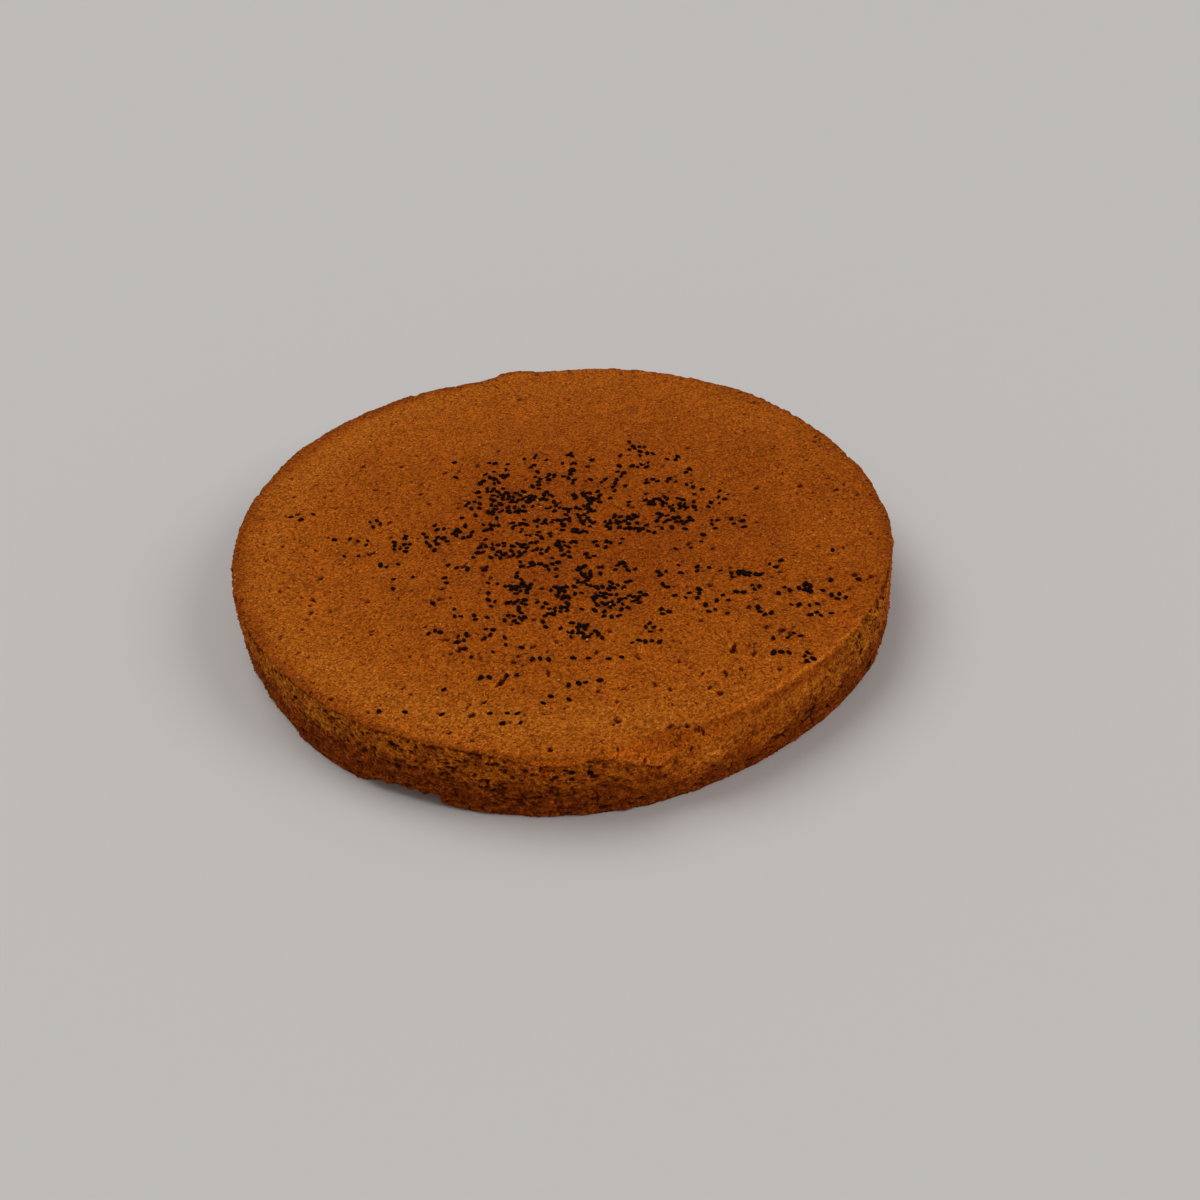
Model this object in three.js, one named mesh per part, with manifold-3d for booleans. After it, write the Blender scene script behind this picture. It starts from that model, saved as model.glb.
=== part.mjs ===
// A flat round sweet bread: a low drum of browned crumb with an uneven rim, a crust edge that is sharp
// on one side and soft on the other, and small dark seeds strewn on top and baked in. It is one piece.
// Millimetres, +Z up. The origin is the middle of the flat underside, and -Y is the front.
import * as THREE from 'three';
import { ParametricGeometry } from 'three/addons/geometries/ParametricGeometry.js';
import { mergeVertices } from 'three/addons/utils/BufferGeometryUtils.js';
import Module from 'manifold-3d';

// Driving dimensions. Angles are in degrees, counted from +X towards +Y.
const RADIUS = 124.1;
const RIM_HEIGHT = 28.2;
const CROWN = 0.8;

// The rim wanders in and out in waves, each with a number of lobes, a height and the angle of one peak.
const RIM_WAVES = [
  { lobes: 2, height: 0.35, peak: 32 },
  { lobes: 3, height: 0.5, peak: 33 },
  { lobes: 4, height: 0.8, peak: 69 },
  { lobes: 5, height: 0.5, peak: 65 },
  { lobes: 8, height: 0.3, peak: 11 },
];

// Single marks on the rim: how far each stands out and up, and its width in degrees.
const RIM_MARKS = [
  { at: 100, out: 1.5, up: 1.0, width: 2.5 },
  { at: 108, out: -1.8, up: -0.6, width: 4.5 },
];
const MARK_REACH = 5;

// The shoulder between wall and top: how far it reaches in and down.
const SHOULDER = { inset: 1.1, drop: 1.2 };
// Where the shoulder is worn back: how much further in and down, and how flat a bevel it makes, from 0
// to 1. The first place is rubbed soft, and the second is a thumb dent.
const WORN_PLACES = [
  { at: 316, inset: 2.3, drop: 6.5, flat: 0.3, width: 17 },
  { at: 285, inset: 4.6, drop: 8.8, flat: 1, width: 5.3 },
];
// The top sinks a little behind the thumb dent.
const DENT = { at: 285, radius: 117, depth: 1.2, along: 9, across: 5 };
// The edge between wall and underside, crumbled away at one place.
const BASE_EDGE = { whole: 1.2, crumbled: 4.6, at: 244, width: 4.5 };
// The wall leans in towards the base around two angles, and has one lump on it.
const WALL_LEANS = [
  { at: 305, depth: 1.2, width: 30 },
  { at: 207, depth: 2.2, width: 13 },
];
const WALL_LUMP = { at: 294, level: 17, out: 1.3, width: 2.2, tall: 3.5 };

// Slow swells over the top, as plane waves with a heading, a wavelength, a height and a phase.
const SWELLS = [
  { heading: 25, wavelength: 150, height: 0.4, phase: 40 },
  { heading: 100, wavelength: 110, height: 0.3, phase: 200 },
  { heading: 160, wavelength: 90, height: 0.25, phase: 310 },
];

// Half sizes of a middling seed, the share by which seeds differ, and how high the middle sits.
const SEED = { length: 1.15, width: 0.8, height: 0.5, uneven: 0.12 };
const SEED_RISE = 0.45;
const SEED_SIDES = 5;
const SEED_ROWS = 3;

// The pinches of seeds: middle x and y, spread along x and along y, and the number of seeds.
const PINCHES = [
  [-39, 44, 2, 7, 2], [-26, 44, 2.5, 2.5, 6], [-24, 37, 3, 1.8, 11], [-26, 28, 3, 2.6, 8],
  [-34, 21, 2.4, 2, 7], [-21, 24, 3.4, 2, 20], [-8, 22, 4.4, 1.7, 16], [-9, 31, 0.9, 2.6, 5],
  [-6, 48, 4, 2.6, 7], [-3, 36, 3.4, 1.6, 9], [5, 40, 0.9, 6, 11], [13, 38, 1, 6, 4],
  [-25, 13, 1.4, 2.8, 12], [-17, 14, 2.2, 1.6, 9], [-4, 15, 4.5, 1.3, 8], [-34, 11, 2.4, 0.8, 3],
  [-26, 4, 3.8, 1.6, 10], [-38, 1, 3, 3, 8], [-46, -3, 2, 2.6, 6], [-14, 3, 2.4, 2.6, 7],
  [-6, 6, 2.6, 1.6, 10], [-7, -3, 2.8, 1.4, 8], [7, 23, 1.8, 1.3, 7], [13, 20, 1.6, 2.2, 8],
  [10, 14, 1.8, 2, 12], [2, 7, 1.2, 2.4, 7], [10, 6, 1.4, 2.6, 12], [5, -1, 2.4, 1.4, 7],
  [26, 55, 3.6, 3, 7], [34, 50, 2.2, 2.6, 6], [32, 43, 2.4, 0.8, 4], [45, 48, 1.4, 1, 3],
  [24, 38, 1.3, 3, 6], [21, 29, 2.6, 3.2, 6], [50, 38, 1.2, 0.8, 2], [35, 32, 1.8, 1.2, 6],
  [44, 31, 2.4, 1, 6], [52, 26, 1.8, 1.8, 6], [24, 17, 2, 2.2, 3], [37, 19, 2.4, 2.6, 11],
  [42, 15, 1, 2, 7], [47, 16, 1, 2.2, 8], [52, 15, 0.6, 2.2, 5], [58, 15, 0.8, 1, 3],
  [63, 18, 1.6, 3, 5], [39, 8, 2, 1.8, 7], [47, 4, 2, 2.4, 9], [20, 5, 1.6, 2, 11],
  [26, 7, 1.5, 1.5, 9], [26, 0, 4.5, 1.5, 9], [40, 0, 3, 1.2, 3], [57, 2, 2.4, 2.6, 4],
  [68, 2, 2, 3, 5], [-102, 16, 4, 2, 3], [-71, 9, 2.4, 3.6, 4], [-80, 0, 4, 1.4, 5],
  [-80, -10, 2.6, 0.5, 5], [-63, -4, 1.6, 1.8, 5], [-58, -5, 1.2, 2.8, 7], [-51, -1, 1.5, 2.6, 4],
  [-47, 5, 1.4, 2.2, 4], [-62, -16, 3, 0.6, 3], [-61, -29, 0.4, 2, 2], [-50, -34, 5, 5, 3],
  [-41, -19, 2.4, 4.5, 3], [-27, -7, 1.8, 2, 6], [-28, -14, 4, 1.4, 8], [-17, -10, 2.6, 2.6, 15],
  [-8, -11, 2.4, 3.6, 8], [1, -10, 2.4, 1.6, 12], [2, -16, 1, 1.1, 5], [11, -17, 1.4, 1, 4],
  [17, -9, 5, 2.2, 7], [-10, -21, 3.2, 0.9, 7], [-3, -25, 1.4, 3.6, 6], [-33, -22, 3.6, 2.4, 3],
  [-17, -27, 0.7, 1.5, 4], [10, -26, 2.2, 1.6, 8], [21, -24, 3.6, 1.8, 9], [10, -34, 3, 2.4, 11],
  [-27, -32, 3, 0.5, 4], [-15, -35, 2.6, 2.2, 15], [-24, -42, 1.6, 2.6, 5], [-2, -38, 2.6, 2.2, 11],
  [5, -40, 1.3, 0.9, 4], [-15, -44, 1.6, 1.3, 8], [-7, -45, 1.8, 1.2, 6], [1, -48, 0.9, 2.4, 7],
  [-37, -49, 0.8, 2, 3], [-29, -52, 1.4, 1, 4], [-16, -53, 3.2, 2.4, 10], [-3, -54, 1.8, 2.6, 9],
  [-46, -58, 1.6, 1.4, 3], [-26, -62, 1.4, 1.8, 4], [-35, -64, 2.6, 1.4, 5], [-18, -67, 1.8, 1.4, 3],
  [20, -36, 2.2, 2, 9], [37, -28, 1.4, 1, 5], [38, -37, 0.9, 0.8, 4], [50, -27, 4, 2.6, 6],
  [54, -12, 5, 4, 4], [29, -42, 0.9, 1, 3], [15, -42, 3, 0.8, 10], [16, -47, 2.8, 0.8, 10],
  [25, -45, 2.4, 1.1, 7], [9, -51, 1.8, 1.1, 6], [17, -52, 3.6, 2, 6], [37, -53, 0.8, 1.4, 3],
  [44, -43, 1.6, 1.4, 3], [50, -43, 0.8, 1.6, 5], [57, -46, 1.6, 0.8, 3], [53, -53, 2.6, 1.6, 4],
  [6, -59, 1.8, 1.8, 9], [9, -64, 3.4, 1.4, 10], [31, -62, 1.6, 1.4, 6], [30, -69, 3.6, 0.6, 5],
  [62, -32, 1.2, 1.2, 5], [69, -32, 3, 0.9, 9], [70, -41, 1, 1.2, 6], [64, -43, 0.8, 0.6, 3],
  [79, -26, 1.8, 1.4, 3], [80, -42, 1.4, 1.4, 3], [89, -41, 1, 2.2, 8], [98, -46, 3.4, 1.6, 5],
  [104, -36, 3, 8, 3], [88, -51, 3, 0.4, 4], [72, -55, 1.2, 2, 6], [91, -57, 2.8, 0.9, 5],
  [79, -68, 4, 1.4, 4], [79, -78, 4, 1, 5], [85, -82, 1, 1.2, 4], [-30, -72, 5, 1.6, 3],
  [0, -76, 5.5, 0.4, 5], [18, -77, 2, 1.4, 2], [-20, -83, 4.5, 1, 4], [-40, -90, 0.3, 0.3, 1],
  [7, -89, 3, 0.6, 4], [0, -97, 5, 1.2, 3], [-57, -100, 3, 0.9, 2], [-40, -102, 0.3, 0.3, 1],
  [-16, -103, 5, 0.5, 4], [-16, -108, 3.4, 0.5, 2],
];

// A share of the seeds clings to the seed that fell before it, at a step between two lengths.
const CLING = { share: 0.06, near: 1.4, far: 2.2 };
// Seeds of a full pinch lie close together, and those of a smaller pinch further apart.
const FULL_PINCH = 7;
const CLEARANCE = { full: 1.2, small: 2.2 };
const STREWN_RADIUS = 119;
const ATTEMPTS = 5;

// The even draws that strew the seeds, and the furthest that a draw around 0 may fall.
const DRAWS = { start: 7411, factor: 48271, modulus: 2147483647 };
const FURTHEST_DRAW = 2.4;

// Only the largest seeds that lie this far apart are shaped in the solid.
const FUSED_SEEDS = 220;
const FUSED_GAP = 3.1;

// Faces around the bread, and rows of faces along its profile.
const SLICES = 90;
const ROWS = { underside: 1, baseEdge: 2, wall: 5, shoulder: 3, top: 8 };
const TOP_CROWDING = 1.5;

const { degToRad, radToDeg, euclideanModulo } = THREE.MathUtils;

// The turn from one angle to another, at most half a turn either way.
function turnBetween(angle, mark) {
  return euclideanModulo(angle - mark + 180, 360) - 180;
}

// A smooth hump: 1 in the middle, and near nothing three widths away.
function hump(distance, width) {
  return Math.exp(-0.5 * (distance / width) ** 2);
}

function rimRadius(angle) {
  let radius = RADIUS;
  for (const wave of RIM_WAVES) {
    radius += wave.height * Math.cos(degToRad(wave.lobes * (angle - wave.peak)));
  }
  for (const mark of RIM_MARKS) {
    radius += mark.out * hump(turnBetween(angle, mark.at), mark.width);
  }
  return radius;
}

// The reach of the shoulder at an angle, and the power of its curve: 2 for an arc, 1 for a flat bevel.
function shoulderAt(angle) {
  let { inset, drop } = SHOULDER;
  let power = 2;
  for (const place of WORN_PLACES) {
    const share = hump(turnBetween(angle, place.at), place.width);
    inset += place.inset * share;
    drop += place.drop * share;
    power -= place.flat * share;
  }
  return { inset, drop, power };
}

// How far the wall's foot lies in from the rim.
function leanDepth(angle) {
  let depth = 0;
  for (const lean of WALL_LEANS) {
    depth += lean.depth * hump(turnBetween(angle, lean.at), lean.width);
  }
  return depth;
}

function baseEdgeRadius(angle) {
  const crumbled = hump(turnBetween(angle, BASE_EDGE.at), BASE_EDGE.width);
  return BASE_EDGE.whole + (BASE_EDGE.crumbled - BASE_EDGE.whole) * crumbled;
}

// The height of the top: a low crown with slow swells, the marks on the rim and the thumb dent.
function topHeight(x, y) {
  const radius = Math.hypot(x, y);
  const angle = radToDeg(Math.atan2(y, x));
  let height = RIM_HEIGHT + CROWN * (1 - (radius / RADIUS) ** 2);
  for (const swell of SWELLS) {
    const heading = degToRad(swell.heading);
    const travel = (x * Math.cos(heading) + y * Math.sin(heading)) / swell.wavelength;
    height += swell.height * Math.cos(2 * Math.PI * travel + degToRad(swell.phase));
  }
  for (const mark of RIM_MARKS) {
    const nearRim = hump(RADIUS - radius, MARK_REACH);
    height += mark.up * nearRim * hump(turnBetween(angle, mark.at), mark.width);
  }
  const sideways = degToRad(turnBetween(angle, DENT.at)) * DENT.radius;
  const pressed = hump(sideways, DENT.along) * hump(radius - DENT.radius, DENT.across);
  return height - DENT.depth * pressed;
}

// The profile at an angle, as sections that each run from 0 to 1 and give a radius and a height:
// out along the underside, round the base edge, up the wall, over the shoulder and in over the top.
function profileSections(angle) {
  const outer = rimRadius(angle);
  const shoulder = shoulderAt(angle);
  const edge = baseEdgeRadius(angle);
  const foot = outer - leanDepth(angle);
  const brink = outer - shoulder.inset;
  const direction = degToRad(angle);
  const heightAt = (radius) => topHeight(radius * Math.cos(direction), radius * Math.sin(direction));
  const wallTop = heightAt(brink) - shoulder.drop;
  const lump = WALL_LUMP.out * hump(turnBetween(angle, WALL_LUMP.at), WALL_LUMP.width);
  const quarter = Math.PI / 2;

  const underside = (t) => [t * (foot - edge), 0];
  const baseEdge = (t) => [
    foot - edge + edge * Math.sin(quarter * t),
    edge - edge * Math.cos(quarter * t),
  ];
  const wall = (t) => {
    const level = edge + (wallTop - edge) * t;
    return [foot + (outer - foot) * t + lump * hump(level - WALL_LUMP.level, WALL_LUMP.tall), level];
  };
  const overShoulder = (t) => [
    brink + shoulder.inset * Math.cos(quarter * t) ** (2 / shoulder.power),
    wallTop + shoulder.drop * Math.sin(quarter * t) ** (2 / shoulder.power),
  ];
  const top = (t) => {
    const radius = brink * (1 - t ** TOP_CROWDING);
    return [radius, heightAt(radius)];
  };
  return [
    { rows: ROWS.underside, at: underside },
    { rows: ROWS.baseEdge, at: baseEdge },
    { rows: ROWS.wall, at: wall },
    { rows: ROWS.shoulder, at: overShoulder },
    { rows: ROWS.top, at: top },
  ];
}

// The bread's skin: u runs once round it, and v along the profile from pole to pole.
function breadGeometry() {
  const rows = Object.values(ROWS).reduce((sum, count) => sum + count, 0);
  const skin = (u, v, target) => {
    const angle = 360 * (u % 1);
    const direction = degToRad(angle);
    let row = v * rows;
    for (const section of profileSections(angle)) {
      if (row <= section.rows) {
        const [radius, height] = section.at(row / section.rows);
        target.set(radius * Math.cos(direction), radius * Math.sin(direction), height);
        return;
      }
      row -= section.rows;
    }
  };
  return new ParametricGeometry(skin, SLICES, rows);
}

// Even draws between 0 and 1 from one fixed start, so that the seeds always fall alike.
let drawState = DRAWS.start;
function draw() {
  drawState = (drawState * DRAWS.factor) % DRAWS.modulus;
  return drawState / DRAWS.modulus;
}

// A draw that falls around 0, mostly within 1 either way.
function drawNear() {
  return FURTHEST_DRAW * (draw() + draw() - 1);
}

function placeSeed(middle, wide, deep, before) {
  if (before === middle || draw() > CLING.share) {
    return { x: middle.x + wide * drawNear(), y: middle.y + deep * drawNear() };
  }
  const heading = 2 * Math.PI * draw();
  const step = CLING.near + (CLING.far - CLING.near) * draw();
  return { x: before.x + step * Math.cos(heading), y: before.y + step * Math.sin(heading) };
}

function distance(a, b) {
  return Math.hypot(a.x - b.x, a.y - b.y);
}

// Strews every pinch and gives the seeds that lie on the crust. One that finds no clear place in a few
// attempts would lie piled on the others, and isn't kept.
function strewSeeds() {
  const lying = [];
  for (const [x, y, wide, deep, count] of PINCHES) {
    const clearance = count < FULL_PINCH ? CLEARANCE.small : CLEARANCE.full;
    const middle = { x, y };
    let before = middle;
    for (let dropped = 0; dropped < count; dropped += 1) {
      let place = middle;
      let clear = false;
      for (let attempt = 0; attempt < ATTEMPTS && !clear; attempt += 1) {
        place = placeSeed(middle, wide, deep, before);
        clear = Math.hypot(place.x, place.y) < STREWN_RADIUS
          && lying.every((seed) => distance(seed, place) > clearance);
      }
      const heading = 2 * Math.PI * draw();
      const size = 1 + SEED.uneven * drawNear();
      if (clear) {
        before = { ...place, heading, size };
        lying.push(before);
      }
    }
  }
  return lying;
}

// The largest seeds first, each taken if it lies clear of those already taken.
function chooseFusedSeeds(lying) {
  const largestFirst = lying.toSorted((a, b) => b.size - a.size);
  const chosen = [];
  for (const seed of largestFirst) {
    const clear = chosen.every((other) => distance(other, seed) > FUSED_GAP);
    if (clear && chosen.length < FUSED_SEEDS) {
      chosen.push(seed);
    }
  }
  return chosen;
}

function seedGeometry(seed) {
  const halfHeight = SEED.height * seed.size;
  return new THREE.SphereGeometry(1, SEED_SIDES, SEED_ROWS)
    .rotateX(Math.PI / 2)
    .scale(SEED.length * seed.size, SEED.width * seed.size, halfHeight)
    .rotateZ(seed.heading)
    .translate(seed.x, seed.y, topHeight(seed.x, seed.y) + SEED_RISE * halfHeight);
}

const wasm = await Module();
wasm.setup();

// A closed geometry as a solid. Faces that shrink to a line at a pole are dropped.
function toSolid(geometry) {
  geometry.deleteAttribute('normal');
  geometry.deleteAttribute('uv');
  const merged = mergeVertices(geometry);
  const corners = merged.index.array;
  const triangles = [];
  for (let i = 0; i < corners.length; i += 3) {
    const [a, b, c] = corners.slice(i, i + 3);
    if (a !== b && b !== c && c !== a) {
      triangles.push(a, b, c);
    }
  }
  return new wasm.Manifold(new wasm.Mesh({
    numProp: 3,
    vertProperties: merged.attributes.position.array,
    triVerts: new Uint32Array(triangles),
  }));
}

function toGeometry(solid) {
  const mesh = solid.getMesh();
  const geometry = new THREE.BufferGeometry();
  geometry.setAttribute('position', new THREE.BufferAttribute(mesh.vertProperties, 3));
  geometry.setIndex(new THREE.BufferAttribute(mesh.triVerts, 1));
  geometry.computeVertexNormals();
  return geometry;
}

// The bread and its seeds joined into one baked piece.
function sweetBread() {
  let solid = toSolid(breadGeometry());
  for (const seed of chooseFusedSeeds(strewSeeds())) {
    solid = solid.add(toSolid(seedGeometry(seed)));
  }
  const crust = new THREE.MeshStandardMaterial({ color: 0x8e4610, roughness: 0.9, metalness: 0 });
  const mesh = new THREE.Mesh(toGeometry(solid), crust);
  mesh.name = 'sweet_bread';
  return mesh;
}

const group = new THREE.Group();
group.add(sweetBread());

export default group;
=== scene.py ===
"""The looks of a flat round sweet bread: a browned sandy crust, a torn porous side and small dark seeds.

Forms are worked out in millimetres and put into meshes in metres. The origin is the middle of the
flat underside, +Z is up and -Y is the front. Angles are in degrees, counted from +X towards +Y.
"""
import itertools
import math

import bpy
import numpy as np
from mathutils import Matrix, Vector


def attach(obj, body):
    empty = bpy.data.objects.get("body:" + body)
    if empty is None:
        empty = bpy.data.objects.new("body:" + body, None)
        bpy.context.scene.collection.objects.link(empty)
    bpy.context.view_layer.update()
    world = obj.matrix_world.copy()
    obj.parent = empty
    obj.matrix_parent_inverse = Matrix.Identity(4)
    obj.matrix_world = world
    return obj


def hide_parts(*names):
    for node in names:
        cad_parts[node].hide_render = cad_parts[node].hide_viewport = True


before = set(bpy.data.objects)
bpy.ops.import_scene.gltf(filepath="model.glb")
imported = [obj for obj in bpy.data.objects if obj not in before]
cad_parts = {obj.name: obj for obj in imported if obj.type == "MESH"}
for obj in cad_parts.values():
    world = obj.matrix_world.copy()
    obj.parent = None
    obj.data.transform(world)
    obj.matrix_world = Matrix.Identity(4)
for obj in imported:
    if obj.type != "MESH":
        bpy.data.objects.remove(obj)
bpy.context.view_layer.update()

MM = 0.001

# The bread's form, as its solid has it.
RADIUS = 124.1
RIM_HEIGHT = 28.2
CROWN = 0.8
# Waves of the rim: number of lobes, height and the angle of one peak.
RIM_WAVES = ((2, 0.35, 32), (3, 0.5, 33), (4, 0.8, 69), (5, 0.5, 65), (8, 0.3, 11))
# Single marks on the rim: angle, how far each stands out and up, and its width in degrees.
RIM_MARKS = ((100, 1.5, 1.0, 2.5), (108, -1.8, -0.6, 4.5))
MARK_REACH = 5
# The shoulder's reach in and down. Where it is worn: angle, more reach in and down, flatness and width.
SHOULDER = {"inset": 1.1, "drop": 1.2}
WORN_PLACES = ((316, 2.3, 6.5, 0.3, 17), (285, 4.6, 8.8, 1, 5.3))
DENT = {"at": 285, "radius": 117, "depth": 1.2, "along": 9, "across": 5}
BASE_EDGE = {"whole": 1.2, "crumbled": 4.6, "at": 244, "width": 4.5}
# Where the wall leans in towards the base: angle, depth and width.
WALL_LEANS = ((305, 1.2, 30), (207, 2.2, 13))
WALL_LUMP = {"at": 294, "level": 17, "out": 1.3, "width": 2.2, "tall": 3.5}
# Slow swells over the top: heading, wavelength, height and phase.
SWELLS = ((25, 150, 0.4, 40), (100, 110, 0.3, 200), (160, 90, 0.25, 310))

# Faces across the top, and rows of faces down the side. The side has as many columns as the top's rim,
# and the underside one for every two of them, with a strip of the width given between the two.
TOP_CELLS = 420
COLUMNS = 4 * TOP_CELLS
SIDE_ROWS = 96
PROFILE_STEPS = 40
UNDERSIDE_CELLS = TOP_CELLS // 2
UNDERSIDE_STRIP = 1.2

# What mixes the numbers of a lattice cell into an even draw: primes, then shifts and factors.
CELL_PRIMES = np.array([73856093, 19349663, 83492791], np.uint32)
CELL_MIXING = ((15, 0x2C1B3C6D), (12, 0x297A2D39), (15, 0x1B56C4E9))
LAST_SHIFT = 14
DRAW_STEP = 40503
DRAW_START = 977
# Layers of lumps: height or strength, size and random seed.
BROAD_LUMPS = ((0.4, 16, 5), (0.22, 8, 1))
CRUST_LUMPS = ((0.13, 4, 2), (0.15, 1.9, 3), (0.14, 1.1, 4))
TOAST_PATCHES = ((0.14, 26, 13), (0.14, 10, 14))
CRUST_MOTTLE = ((0.06, 9, 25), (0.06, 4, 26))
RAGGED_BORDER = ((0.5, 5, 30), (0.6, 2.2, 31), (0.5, 1.1, 32))
SEAM_GAPS = ((1, 3.5, 33), (0.6, 1.3, 66))
CRUMB_GRAINS = ((0.3, 2.2, 36), (0.3, 1.2, 37))
CRUMB_PATCHES = ((0.3, 6, 67), (0.15, 2.5, 68))
DENSE_PATCHES = ((4, 14, 38), (2, 5, 39))
UNDER_PATCHES = ((0.6, 14, 71), (0.4, 4, 72))
# Bubbles: spacing, smallest and largest radius, the share of places that hold one, and random seed.
TOP_PITS = (4.5, 0.45, 1.2, 0.75, 20)
SIDE_PITS = (4.5, 0.45, 1.2, 0.3, 20)
SMALL_PITS = (3, 0.28, 0.75, 0.7, 120)
LARGE_PORES = (7, 0.9, 2.0, 0.3, 55)
COARSE_PORES = (2, 0.34, 1.35, 0.85, 40)
FINE_PORES = (1.2, 0.3, 0.75, 0.85, 50)
UNDER_PORES = (6, 0.5, 1.9, 0.5, 70)

# The crust's pits: how far they are bent, how they are drawn out downwards, how much of their depth shows,
# and the share by which they are shallower at the back, from one y to another.
PITS = {"bend": 0.6, "stretch": np.array([1, 1, 0.4]), "depth": 0.6, "fading": 0.6, "fade": (10, 80)}
# How far the crust is toasted in the middle, between two radii, and to the right, between two x.
TOAST = {"middle": 0.9, "radii": (15, 115), "right": 0.4, "across": (-10, 110)}
# How far the browned crust comes down the side. Where it comes further: angle, how much and width.
CRUST_REACH = 0.1
CRUST_FLAPS = ((269, 4.2, 5), (284, 9.7, 4), (295, 7, 4.5), (309, 7, 8.5), (20, 1.2, 25), (110, 1.5, 45))
# How far the crust's border on the side is ragged, more so on long flaps, and how softly it ends, more so
# where it is rubbed.
BORDER = {"ragged": 0.8, "flapping": 0.07, "soft": 0.3, "rubbed": 0.8}
# The torn seam under that border, painted dark as a shadow line. Where it hardly shows: angle, how far it
# is closed and width.
SEAM = {"past": 0.5, "width": 0.5, "depth": 0.55, "rubbed": 0.85}
HEALED = ((270, 0.8, 5), (292, 0.8, 5))
# The chips along the rim: depth, size of the lumps that make them, how high a lump must be, and width.
CHIPS = {"depth": 0.7, "size": 3.2, "least": 0.1, "width": 1.1}
# The brown band along the rim: angles and widths. The pale ring inside it: angles and strengths.
BROWNED = ((0, 8), (50, 3), (90, 2), (120, 8), (225, 8), (240, 4.5), (255, 3), (266, 1), (320, 1), (345, 7))
PALED = ((90, 0.2), (140, 0.8), (200, 0.5), (225, 0.9), (285, 0.9), (300, 0.3), (330, 0))
# The width from which the band is fully brown, the share of it that is solid, and how uneven it is.
BROWN_BAND = {"full": 3, "solid": 0.2, "uneven": 0.25}
PALE_RING = {"radius": 110, "width": 6, "uneven": 3}
# Where the shoulder is rubbed. A ridge runs along its brink and a groove below: how far past the brink.
RUBBED = {"at": 314, "width": 13, "uneven": 0.5, "streaks": 0.2}
RIDGE = {"height": 0.45, "past": -0.1, "width": 0.65}
GROOVE = {"depth": 0.3, "past": 2.1, "width": 0.7, "reddened": 0.8}
# Where the crust's torn border has a raised golden lip, and how high it is.
LIP = {"at": 281, "width": 4, "height": 0.5, "past": -0.7, "across": 0.5}
# The thumb's print in the dent: angle, how far below the top, its spread along and down, depth and how far
# it is darkened with painted shade. Beside it the crust has a painted highlight: the same without a depth.
PRINT = {"at": 286.8, "below": 4.5, "along": 4.5, "down": 2.2, "depth": 0.8, "browned": 0.75}
BRIGHT = {"at": 292.2, "below": 5.5, "along": 2.2, "down": 2.2, "highlight": 0.6}

# The crumb is layered: its lumps and pores are this much flatter than wide, its flakes flatter than that,
# and its cracks flatter still.
LAYERED = np.array([1, 1, 1.2])
FLAKED = np.array([1, 1, 2.5])
CRACKED = np.array([1, 1, 4])
# How far the crumb's flakes, pores and cracks show in its relief, and how far it is set back.
CRUMB = {"flakes": 0.25, "pores": 0.65, "cracks": 0.4, "set_back": 0.2}
PORE_BEND = 0.55
# How far flakes show in the crumb's colour, how far the wall's lump is painted pale as a highlight where it
# stands proud, and how far it has its pores closed.
FLAKE_SHADE = 0.35
LUMP_PALE = 0.8
LUMP_CLOSED = 0.85
# Where the crumb is softer, and how far its pores are closed there.
SOFT = {"at": 304, "width": 18, "closed": 0.6}
# An upright slit near the wall's foot.
SLIT = {"at": 297.2, "level": 4.4, "width": 0.5, "tall": 1.9, "bend": 0.4}
# The level up to which the crumb is dense, how softly that ends and how far it is red. Where the level
# differs: angle, how much and width.
DENSE = {"level": 12, "soft": 4, "reddened": 0.75}
DENSE_MARKS = ((240, 3.5, 22), (290, -2.5, 10), (5, -4, 14), (62, 3, 16), (112, -5, 18), (168, 2, 15))
# Where the crumb is olive above that: angle, strength and width.
OLIVE = ((222, 1, 14), (328, 1, 9), (60, 1, 25), (150, 1, 18))
# The notch in the base edge: its ends, one gentle and one abrupt, its height with the softness of its
# ceiling, and its depth. The rest of the base edge has crumbled in places: depth and height.
NOTCH = {"from": 237.5, "gentle": 2.5, "to": 249.6, "abrupt": 0.4, "height": 4.6, "soft": 1.2, "depth": 3.6}
CRUMBLED = {"depth": 1.3, "tall": 2}

# Half sizes of a middling seed, the share by which seeds differ, and how high the middle sits.
SEED = {"length": 1.15, "width": 0.8, "height": 0.5, "uneven": 0.12}
SEED_RISE = 0.45
SEED_SIDES = 6
SEED_RINGS = 4
SEED_TILT = 7
# A seed's outline: the power of its curve, its fullness at one end, the taper to the other, its corners.
SEED_OUTLINE = {"power": 0.8, "full": 1.12, "taper": 0.3, "corners": 0.1}
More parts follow.
